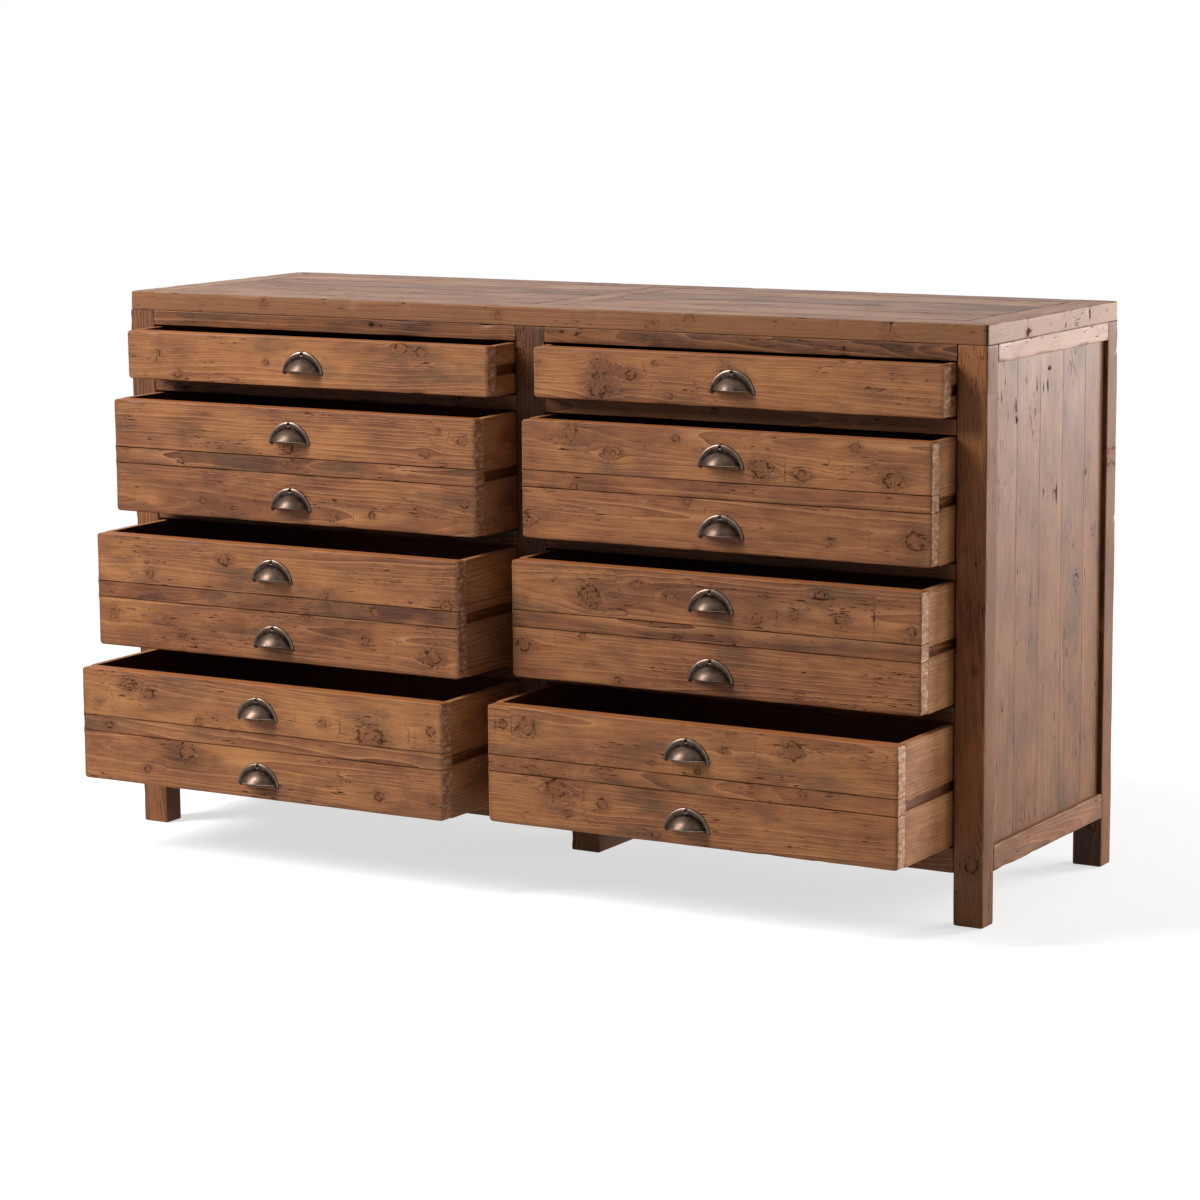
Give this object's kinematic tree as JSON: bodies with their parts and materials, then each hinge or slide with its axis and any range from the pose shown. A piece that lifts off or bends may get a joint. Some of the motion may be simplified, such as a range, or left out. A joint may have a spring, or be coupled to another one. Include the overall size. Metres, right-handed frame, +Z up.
{
  "type": "apothecary chest of drawers",
  "caption": "Low wide chest of drawers in worn pine: post-and-rail carcass on short legs, two columns of drawers on side runners, cup pulls and a framed plank top.",
  "frame": {"origin": "on the floor at the middle of the carcass, at the centre of the underside of the middle foot", "axes": "+X to the right along the front, +Y to the back, +Z up; drawers open towards -Y"},
  "size_m": [1.6, 0.7561, 0.924],
  "materials": {
    "frame_pine": "waxed, worn",
    "plank_pine": "waxed, worn",
    "top_pine": "waxed, worn",
    "front_pine": "waxed, worn",
    "box_pine": "bare, aged",
    "runner_wood": "bare, rubbed",
    "pull_metal": "dark burnished"
  },
  "bodies": {
    "carcass": {"post_front_left": "frame_pine", "post_front_right": "frame_pine", "post_back_left": "frame_pine", "post_back_right": "frame_pine", "post_front_centre": "frame_pine", "post_back_centre": "frame_pine", "front_top_rails": "frame_pine", "front_rails": "frame_pine", "front_bottom_rail": "frame_pine", "back_rails": "frame_pine", "side_rails_left": "frame_pine", "side_rails_right": "frame_pine", "side_planks_left": "plank_pine", "side_planks_right": "plank_pine", "back_planks": "plank_pine", "centre_partition": "plank_pine", "base_bearer": "frame_pine", "centre_foot": "frame_pine", "drawer_runners": "runner_wood", "top_front_board": "top_pine", "top_back_board": "top_pine", "top_left_board": "top_pine", "top_right_board": "top_pine", "top_cross_board": "top_pine", "top_planks_left": "plank_pine", "top_planks_right": "plank_pine"},
    "drawer_left_1": {"drawer_left_1_front": "front_pine", "drawer_left_1_box": "box_pine", "drawer_left_1_bottom": "box_pine", "drawer_left_1_pulls": "pull_metal"},
    "drawer_left_2": {"drawer_left_2_front": "front_pine", "drawer_left_2_box": "box_pine", "drawer_left_2_bottom": "box_pine", "drawer_left_2_pulls": "pull_metal"},
    "drawer_left_3": {"drawer_left_3_front": "front_pine", "drawer_left_3_box": "box_pine", "drawer_left_3_bottom": "box_pine", "drawer_left_3_pulls": "pull_metal"},
    "drawer_left_4": {"drawer_left_4_front": "front_pine", "drawer_left_4_box": "box_pine", "drawer_left_4_bottom": "box_pine", "drawer_left_4_pulls": "pull_metal"},
    "drawer_right_1": {"drawer_right_1_front": "front_pine", "drawer_right_1_box": "box_pine", "drawer_right_1_bottom": "box_pine", "drawer_right_1_pulls": "pull_metal"},
    "drawer_right_2": {"drawer_right_2_front": "front_pine", "drawer_right_2_box": "box_pine", "drawer_right_2_bottom": "box_pine", "drawer_right_2_pulls": "pull_metal"},
    "drawer_right_3": {"drawer_right_3_front": "front_pine", "drawer_right_3_box": "box_pine", "drawer_right_3_bottom": "box_pine", "drawer_right_3_pulls": "pull_metal"},
    "drawer_right_4": {"drawer_right_4_front": "front_pine", "drawer_right_4_box": "box_pine", "drawer_right_4_bottom": "box_pine", "drawer_right_4_pulls": "pull_metal"}
  },
  "joints": [
    {"name": "drawer_left_1_slide", "type": "slide", "parent": "carcass", "child": "drawer_left_1", "axis": [0, -1, 0], "range_m": [-0.079, 0.271]},
    {"name": "drawer_left_2_slide", "type": "slide", "parent": "carcass", "child": "drawer_left_2", "axis": [0, -1, 0], "range_m": [-0.12, 0.23]},
    {"name": "drawer_left_3_slide", "type": "slide", "parent": "carcass", "child": "drawer_left_3", "axis": [0, -1, 0], "range_m": [-0.177, 0.173]},
    {"name": "drawer_left_4_slide", "type": "slide", "parent": "carcass", "child": "drawer_left_4", "axis": [0, -1, 0], "range_m": [-0.227, 0.123]},
    {"name": "drawer_right_1_slide", "type": "slide", "parent": "carcass", "child": "drawer_right_1", "axis": [0, -1, 0], "range_m": [-0.039, 0.311]},
    {"name": "drawer_right_2_slide", "type": "slide", "parent": "carcass", "child": "drawer_right_2", "axis": [0, -1, 0], "range_m": [-0.077, 0.273]},
    {"name": "drawer_right_3_slide", "type": "slide", "parent": "carcass", "child": "drawer_right_3", "axis": [0, -1, 0], "range_m": [-0.111, 0.239]},
    {"name": "drawer_right_4_slide", "type": "slide", "parent": "carcass", "child": "drawer_right_4", "axis": [0, -1, 0], "range_m": [-0.188, 0.162]}
  ]
}
